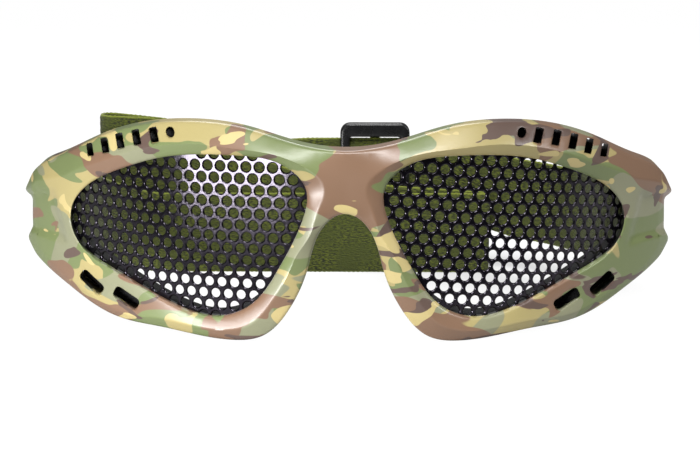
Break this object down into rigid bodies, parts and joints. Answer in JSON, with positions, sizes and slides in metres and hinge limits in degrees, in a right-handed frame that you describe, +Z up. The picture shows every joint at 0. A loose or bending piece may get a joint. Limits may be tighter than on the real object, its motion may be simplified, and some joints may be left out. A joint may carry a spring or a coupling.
{
  "type": "mesh safety goggles",
  "caption": "Wrap-round safety goggles with perforated steel mesh lenses in a moulded frame, foam face pads, and an elastic head strap with a sliding adjuster.",
  "frame": {"origin": "under the middle of the whole object, on the surface that it stands on", "axes": "+X towards the wearer's left, the front faces -Y, +Z up"},
  "size_m": [0.186, 0.107, 0.058],
  "materials": {
    "frame_plastic": "satin",
    "mesh_steel": "gloss",
    "ring_plastic": "satin",
    "screw_steel": "satin",
    "face_foam": "matte",
    "webbing": "matte",
    "slider_plastic": "satin"
  },
  "bodies": {
    "goggles": {"front_frame": "frame_plastic", "left_mesh_lens": "mesh_steel", "right_mesh_lens": "mesh_steel", "left_lens_ring": "ring_plastic", "right_lens_ring": "ring_plastic", "left_ring_screws": "screw_steel", "right_ring_screws": "screw_steel", "brow_foam": "face_foam", "nose_foam": "face_foam", "left_cheek_foam": "face_foam", "right_cheek_foam": "face_foam", "elastic_strap": "webbing"},
    "slider": {"strap_slider": "slider_plastic"}
  },
  "joints": [
    {"name": "slider_slide", "type": "slide", "parent": "goggles", "child": "slider", "axis": [1, 0, 0], "range_m": [-0.008, 0.004]}
  ]
}
